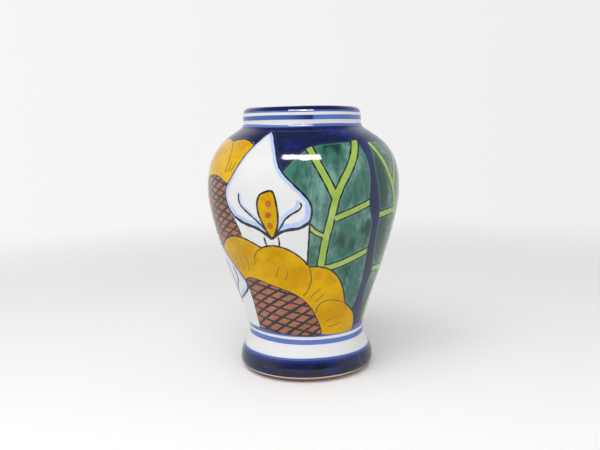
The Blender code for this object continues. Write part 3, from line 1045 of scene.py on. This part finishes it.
def white_glaze():
    """The tin glaze outside, a little cloudy, with a few specks."""
    s = glazed("tin_white")
    cloud = s.between(s.noise(28.0, detail=5.0), 0.35, 0.7)
    speck = s.between(s.noise(420.0, shift=3.0, detail=1.0), 0.70, 0.76)
    base = s.mix(cloud, (0.70, 0.70, 0.69), (0.66, 0.665, 0.67))
    base = s.mix(s.times(speck, 0.35), base, (0.42, 0.36, 0.30))
    s.colour(s.mix(s.between(s.height(), *STAIN_OUTSIDE), base, RIM_STAIN))
    return s.material


def inner_white():
    """The tin glaze inside, warmer."""
    s = glazed("tin_white_inside")
    cloud = s.between(s.noise(22.0, shift=5.0, detail=5.0), 0.35, 0.7)
    base = s.mix(cloud, (0.66, 0.65, 0.62), (0.58, 0.565, 0.53))
    s.colour(s.mix(s.between(s.height(), *STAIN_INSIDE), base, RIM_STAIN))
    return s.material


def cobalt_ground():
    """The dark blue ground, brighter in blotchy patches that grow towards the shoulder."""
    s = glazed("cobalt_ground")
    blotch = s.between(s.noise(30.0, (1.0, 1.0, 2.2), 2.0, 6.0, 0.62), 0.46, 0.68)
    fine_blotch = s.between(s.noise(95.0, (1.0, 1.0, 1.8), 7.0, 4.0), 0.42, 0.66)
    high = s.between(s.height(), 0.19, 0.235, 0.25, 1.0)
    edge = s.between(s.attribute("edge_mm"), 0.2, 2.2, 1.0, 0.0)
    patch = s.times(s.times(blotch, high), s.between(fine_blotch, 0.0, 1.0, 0.35, 1.0))
    base = s.mix(patch, (0.0075, 0.0105, 0.050), (0.012, 0.030, 0.26))
    s.colour(s.mix(s.times(edge, 0.40), base, (0.020, 0.040, 0.22)))
    return s.material


def band_paint(name, thick, thin, end=None, low_end=None):
    """A line turned on the wheel, with streaks along it; it may pool where the brush ends."""
    s = glazed(name)
    run = s.noise(120.0, (0.25, 0.25, 4.0), 4.0, 3.0)
    load = s.between(s.attribute("travel"), 0.0, 0.9)
    streak = s.between(run, 0.35, 0.65)
    colour = s.mix(s.times(load, 0.8), s.mix(s.times(streak, 0.6), thick, thin), thin)
    if low_end:
        pool = s.between(s.noise(48.0, (1.0, 1.0, 2.5), 15.0, 4.0), 0.40, 0.66)
        low = s.between(s.height(), low_end[0] * MM, low_end[1] * MM, 1.0, 0.0)
        colour = s.mix(low, colour, s.mix(pool, low_end[2], low_end[3]))
    if end:
        colour = s.mix(s.between(s.attribute("travel"), 0.93, 0.985), colour, end)
    s.colour(colour)
    return s.material


def leaf_wash():
    """Copper green, streaked and cloudy, milky where it is thick."""
    s = glazed("copper_green")
    streak = s.noise(150.0, (1.0, 1.0, 0.30), 1.0, 6.0, 0.68)
    cloud = s.between(s.noise(26.0, (1.0, 1.0, 0.7), 9.0, 5.0, 0.6), 0.42, 0.62)
    milk = s.between(s.noise(38.0, (1.0, 1.0, 0.55), 12.0, 6.0, 0.66), 0.47, 0.64)
    dark = s.between(s.noise(36.0, (1.0, 1.0, 0.6), 21.0, 5.0, 0.6), 0.51, 0.63)
    base = s.mix(s.between(streak, 0.34, 0.64), (0.018, 0.082, 0.058), (0.050, 0.175, 0.135))
    base = s.mix(s.times(cloud, 0.65), base, (0.034, 0.125, 0.095))
    milk = s.times(milk, s.between(streak, 0.30, 0.66, 0.25, 0.85))
    base = s.mix(milk, base, (0.190, 0.360, 0.315))
    base = s.mix(s.times(dark, 0.95), base, (0.006, 0.046, 0.030))
    edge = s.between(s.attribute("edge_mm"), 0.3, 2.6, 1.0, 0.0)
    s.colour(s.mix(s.times(edge, 0.30), base, (0.12, 0.27, 0.21)))
    return s.material


def wash(name, colour, pale, dark, scale=60.0, edge_reach=2.0, edge_share=0.5,
         tint=(1.0, 1.0, 1.0)):
    """A thin wash that pools and thins, paler towards its edge."""
    s = glazed(name, 1.40)
    s.put(s.shader.inputs["Specular Tint"], tint)
    cloud = s.between(s.noise(scale, shift=2.0, detail=5.0), 0.36, 0.66)
    pool = s.between(s.noise(2.7 * scale, shift=8.0, detail=3.0), 0.50, 0.72)
    base = s.mix(s.times(pool, 0.45), s.mix(cloud, colour, pale), dark)
    edge = s.between(s.attribute("edge_mm"), 0.1, edge_reach, 1.0, 0.0)
    s.colour(s.mix(s.times(edge, edge_share), base, pale))
    return s.material


def outline_paint(name, thick, thin):
    """Manganese black, thinner and browner where the brush ran dry."""
    s = glazed(name)
    dry = s.between(s.noise(230.0, shift=1.0, detail=3.0), 0.50, 0.75)
    s.colour(s.mix(s.times(dry, 0.55), thick, thin))
    return s.material


def bare_clay(name, base, dark, light):
    """Unglazed clay: gritty, with the wheel's rings, and painted shade that darkens it near the
    table.
    """
    s = Surface(name, 0.85)
    cloud = s.between(s.noise(45.0, detail=5.0), 0.35, 0.68)
    grit = s.between(s.noise(700.0, shift=4.0, detail=2.0), 0.58, 0.72)
    rings = s.noise(60.0, (0.5, 0.5, 14.0), 6.0, 3.0)
    colour = s.mix(s.times(grit, 0.6), s.mix(cloud, base, light), dark)
    # painted shade: near the table the clay turns to its dark colour
    s.colour(s.mix(s.between(s.height(), *CLAY_SHADE_HEIGHTS), dark, colour))
    s.bump(s.mix(0.5, s.noise(520.0, detail=4.0), rings), 0.5, 0.0004)
    return s.material


# ------------------------------------------------------ the pigments

AMBER_SHEEN = (1.0, 0.78, 0.22)
MAKERS = {      # a film's whole name or its last word: lift, maker of the material, its values
    "cobalt_ground": (FILM_LIFT, cobalt_ground),
    "line": (LINE_LIFT, outline_paint, "manganese_line", (0.012, 0.014, 0.018),
             (0.036, 0.040, 0.050)),
    "shade": (FILM_LIFT, wash, "calla_blue", (0.35, 0.46, 0.75), (0.46, 0.56, 0.79),
              (0.27, 0.38, 0.68)),
    "spadix": (FILM_LIFT, wash, "spadix_yellow", (0.50, 0.27, 0.002), (0.60, 0.36, 0.004),
               (0.38, 0.17, 0.002), 60.0, 2.0, 0.1, AMBER_SHEEN),
    "dots": (LINE_LIFT, wash, "spadix_brown", (0.36, 0.07, 0.012), (0.44, 0.13, 0.012),
             (0.22, 0.04, 0.01)),
    "petals": (FILM_LIFT, wash, "petal_amber", (0.50, 0.255, 0.003), (0.62, 0.35, 0.006),
               (0.40, 0.180, 0.003), 42.0, 3.0, 0.35, AMBER_SHEEN),
    "high_sunflower_petals": (FILM_LIFT, wash, "petal_yellow", (0.56, 0.30, 0.004),
                              (0.70, 0.44, 0.008), (0.47, 0.23, 0.003), 42.0, 3.0, 0.35,
                              AMBER_SHEEN),
    "folds": (LINE_LIFT, wash, "petal_olive", (0.13, 0.080, 0.010), (0.24, 0.15, 0.015),
              (0.07, 0.045, 0.008)),
    "disc": (FILM_LIFT, wash, "disc_orange", (0.29, 0.096, 0.048), (0.39, 0.155, 0.085),
             (0.19, 0.058, 0.029), 50.0, 2.0, 0.2),
    "wash": (FILM_LIFT, leaf_wash),
    "veins": (LINE_LIFT, wash, "vein_green", (0.27, 0.41, 0.065), (0.34, 0.48, 0.11),
              (0.17, 0.32, 0.035), 70.0, 1.5, 0.3),
    "foot_band": (BAND_LIFT, band_paint, "foot_band_navy", (0.020, 0.040, 0.21),
                  (0.024, 0.048, 0.24), None,
                  (18.5, 24.5, (0.0022, 0.0032, 0.016), (0.0036, 0.0085, 0.078))),
    "foot_edge": (BAND_LIFT, band_paint, "foot_edge_blue", (0.05, 0.095, 0.38), (0.07, 0.13, 0.43)),
    "foot_stripe_low": (FILM_LIFT, band_paint, "stripe_low_blue", (0.045, 0.090, 0.36),
                        (0.09, 0.16, 0.46)),
    "foot_stripe_high": (FILM_LIFT, band_paint, "stripe_high_blue", (0.045, 0.090, 0.36),
                         (0.08, 0.15, 0.45)),
    "collar_stripe": (FILM_LIFT, band_paint, "collar_blue", (0.09, 0.18, 0.50),
                      (0.040, 0.085, 0.36), (0.012, 0.026, 0.18)),
    "rim_band": (BAND_LIFT, band_paint, "rim_navy", (0.0040, 0.0060, 0.036),
                 (0.0060, 0.010, 0.065)),
    "rim_edge": (BAND_LIFT, band_paint, "rim_edge_blue", (0.045, 0.085, 0.36), (0.08, 0.14, 0.42)),
    "shoulder_edge": (LINE_LIFT, band_paint, "shoulder_edge_blue", (0.050, 0.095, 0.36),
                      (0.10, 0.18, 0.46)),
}
PIGMENTS = {}
# where the brush first touches in a band, degrees
BRUSH_START = {"collar_stripe": 12.0, "rim_band": 48.0, "foot_band": 51.0, "foot_stripe_low": 55.0}


def pigment(film):
    """The material and lift of a film, from its name without front or back."""
    kind = film.removeprefix("front_").removeprefix("back_")
    key = kind if kind in MAKERS else kind.rsplit("_", 1)[1]
    lift, maker, *values = MAKERS[key]
    if key not in PIGMENTS:
        PIGMENTS[key] = maker(*values)
    return PIGMENTS[key], lift


def build_films():
    """A film for each pigment of each motif."""
    verts, faces, label = drawing()
    names = sorted({LAYERS[k][0] for k in set(label.tolist()) if k >= 0})
    film_of = [names.index(film) if film in names else -1 for film, _, _ in LAYERS] + [-1]
    film = np.array(film_of)[label]
    for index, name in enumerate(names):
        material, lift = pigment(name)
        make_film(name, verts, faces[film == index], lift, material, BRUSH_START.get(name, 0.0))


# ------------------------------------------------------ the vase

def foot_clay():
    """The thrown foot: bare clay at its edge, underneath and in the recess, grooved by the tool."""
    centre = (FOOT_RADIUS - COAT - FOOT_EDGE_ROUNDING, FOOT_EDGE_HEIGHT)
    edge = ellipse(centre, FOOT_EDGE_ROUNDING, FOOT_EDGE_HEIGHT, 0, -86, 26)
    outer = [(r, max(z, 0.0)) for r, z in edge]
    last = outer[-1][0]
    bottom = []
    for k in range(1, 30):
        r = last + (RECESS_RADIUS + 0.6 - last) * k / 30.0
        groove = 0.10 * (1.0 + math.sin(2.4 * r)) if 2 < k < 28 else 0.0
        bottom.append((r, groove))
    ledge, bore = FLOOR_BOTTOM - 2.0, FOOT_BORE + 0.6
    recess = [(RECESS_RADIUS, 0.5), (RECESS_RADIUS, ledge), (bore, ledge),
              (bore, FLOOR_BOTTOM + 6.0), (WAIST_RADIUS - WALL + 1.0, 24.0),
              (WAIST_RADIUS - 3.0, 24.0), (FOOT_RADIUS - COAT - 2.4, 16.0)]
    outline = outer + [(last - 0.6, 0.0)] + bottom + recess
    clay = bare_clay("foot_clay_bare", (0.42, 0.165, 0.095), (0.12, 0.055, 0.035),
                     (0.52, 0.23, 0.145))
    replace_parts(turned("foot_clay", outline, clay, True), "foot_ring")


def floor_clay():
    """The floor slab seen from below, with the wheel's rings still in it."""
    bottom = []
    for k in range(0, 61):
        r = FOOT_BORE * k / 60.0
        bottom.append((r, FLOOR_BOTTOM + 0.12 + 0.12 * math.sin(1.15 * r) * min(1.0, r / 6.0)))
    outline = bottom + [(FOOT_BORE, FLOOR_TOP - 2.0), (0.0, FLOOR_TOP - 2.0)]
    clay = bare_clay("floor_clay_bare", (0.28, 0.10, 0.055), (0.11, 0.045, 0.03),
                     (0.37, 0.16, 0.10))
    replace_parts(turned("floor_clay", outline, clay, False), "floor_slab")


def build_vase():
    """The pieces in sight stand in for the CAD's glaze, foot and floor; the rest is dressed."""
    outside = shell("glaze_outside", GLAZE_START, CREST_AT, white_glaze(), 2.2)
    within = shell("glaze_inside", CREST_AT, FLOOR_AT, inner_white(), 2.0)
    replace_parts(outside, "outer_glaze")
    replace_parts(within, "inner_glaze")
    foot_clay()
    floor_clay()
    paint_vase()
    build_films()
    inner_clay = bare_clay("fired_clay", (0.30, 0.105, 0.058), (0.12, 0.045, 0.03),
                           (0.40, 0.17, 0.10))
    slip = bare_clay("fired_slip", (0.34, 0.15, 0.09), (0.16, 0.07, 0.04), (0.42, 0.21, 0.13))
    for node in ("lower_wall", "upper_wall", "neck_collar", "rim_coil"):
        dress(node, inner_clay)
    for node in ("floor_slip", "foot_slip", "belly_slip", "neck_slip", "rim_slip"):
        dress(node, slip)


def dress(node, material):
    """Gives a CAD piece that stays a procedural material."""
    piece = bpy.data.objects.get(node)
    if piece is not None and piece.type == "MESH":
        piece.data.materials.clear()
        piece.data.materials.append(material)


build_vase()


# ------------------------------------------------------ stage, light and camera

FLOOR_COLOUR = (0.918, 0.918, 0.918)
FLOOR_FADE = (0.35, 1.25)             # distances from the vase over which the floor clears, m
CAMERA_PLACE = (0.0, -0.7231, 0.2488)
CAMERA_TURN = (-0.341, 7.916, -1.2)   # yaw, pitch down and roll, degrees
CAMERA_LENS = 41.6                    # mm, on a 36 mm sensor
SKY = (                               # the light along an axis: from, to, and its strength at each
    ("Z", 0.45, 0.85, 0.885, 0.12),
    ("X", -0.8, 0.8, 1.06, 0.95),
    ("Y", -0.88, -0.40, 0.28, 1.0),
)
LIGHTS = (
    # name, azimuth (0 at the camera's side, positive to the right), elevation, distance,
    # width, height, watts
    ("strip_left", -11.0, 50.9, 1.2, 0.56, 0.21, 10.8),
    ("strip_right", 12.0, 49.4, 1.2, 0.42, 0.24, 9.6),
    ("key", -20.0, 52.0, 1.6, 1.3, 1.1, 14.2),
    ("fill_front", 12.0, 14.0, 1.7, 1.5, 1.2, 9.5),
    ("fill_left", -60.0, 56.0, 1.7, 1.3, 1.3, 4.6),
    ("fill_top", 120.0, 76.0, 1.8, 1.6, 1.6, 5.0),
)


def build_stage():
    """A pale floor that fades out into the surrounding light."""
    bpy.ops.mesh.primitive_circle_add(vertices=96, radius=1.8, fill_type="NGON",
                                      location=(0.0, 0.0, -0.0002))
    floor = bpy.context.object
    floor.name = "pale_floor"
    surface = Surface("pale_floor_paper", 0.9)
    surface.colour(FLOOR_COLOUR)
    surface.shader.inputs["Specular IOR Level"].default_value = 0.0
    tree = surface.tree
    length = surface.node("ShaderNodeVectorMath", operation="LENGTH")
    surface.put(length.inputs[0], surface.place)
    fade = surface.between(length.outputs["Value"], *FLOOR_FADE)
    clear = surface.node("ShaderNodeBsdfTransparent")
    mixed = surface.node("ShaderNodeMixShader")
    surface.put(mixed.inputs[0], fade)
    tree.links.new(surface.shader.outputs[0], mixed.inputs[1])
    tree.links.new(clear.outputs[0], mixed.inputs[2])
    tree.links.new(mixed.outputs[0], tree.nodes["Material Output"].inputs["Surface"])
    floor.data.materials.append(surface.material)


def build_world():
    """Even studio light, darker overhead and behind the camera, where the glaze mirrors it."""
    world = bpy.data.worlds.new("studio")
    bpy.context.scene.world = world
    world.use_nodes = True
    sky = Nodes(world.node_tree)
    split = sky.node("ShaderNodeSeparateXYZ")
    sky.put(split.inputs[0], sky.node("ShaderNodeTexCoord").outputs["Generated"])
    up, across, ahead = (sky.between(split.outputs[axis], *limits) for axis, *limits in SKY)
    background = sky.tree.nodes["Background"]
    sky.put(background.inputs["Strength"], sky.times(sky.times(up, across), ahead))
    background.inputs["Color"].default_value = (1.0, 1.0, 1.0, 1.0)


def softbox(name, azimuth, elevation, distance, width, height, watts):
    """A soft light. The strips only make the highlight on the shoulder, the others only light."""
    strip = name.startswith("strip")
    data = bpy.data.lights.new(name, "AREA")
    data.shape = "RECTANGLE"
    data.size, data.size_y = width, height
    data.energy = watts
    light = bpy.data.objects.new(name, data)
    bpy.context.scene.collection.objects.link(light)
    a, e = math.radians(azimuth), math.radians(elevation)
    centre = Vector((0.0, 0.0, 0.22 if strip else 0.15))
    away = Vector((math.sin(a) * math.cos(e), -math.cos(a) * math.cos(e), math.sin(e)))
    light.location = centre + distance * away
    light.rotation_euler = (centre - light.location).to_track_quat("-Z", "Y").to_euler()
    light.visible_glossy = strip
    light.visible_diffuse = not strip


def build_camera():
    """The photo's camera, in front of the vase and looking down at it a little."""
    yaw, pitch, roll = (math.radians(angle) for angle in CAMERA_TURN)
    level_right = Vector((math.cos(yaw), -math.sin(yaw), 0.0))
    level_ahead = Vector((math.sin(yaw), math.cos(yaw), 0.0))
    up_axis = Vector((0.0, 0.0, 1.0))
    ahead = math.cos(pitch) * level_ahead - math.sin(pitch) * up_axis
    level_up = math.sin(pitch) * level_ahead + math.cos(pitch) * up_axis
    right = math.cos(roll) * level_right + math.sin(roll) * level_up
    up = math.cos(roll) * level_up - math.sin(roll) * level_right
    data = bpy.data.cameras.new("front_camera")
    data.sensor_width = 36.0
    data.lens = CAMERA_LENS
    data.clip_start = 0.01
    camera = bpy.data.objects.new("front_camera", data)
    bpy.context.scene.collection.objects.link(camera)
    turn = Matrix((right, up, -ahead)).transposed().to_4x4()
    turn.translation = Vector(CAMERA_PLACE)
    camera.matrix_world = turn
    bpy.context.scene.camera = camera


build_stage()
build_world()
for light in LIGHTS:
    softbox(*light)
build_camera()
bpy.context.scene.view_settings.view_transform = "Standard"
bpy.context.scene.view_settings.look = "None"
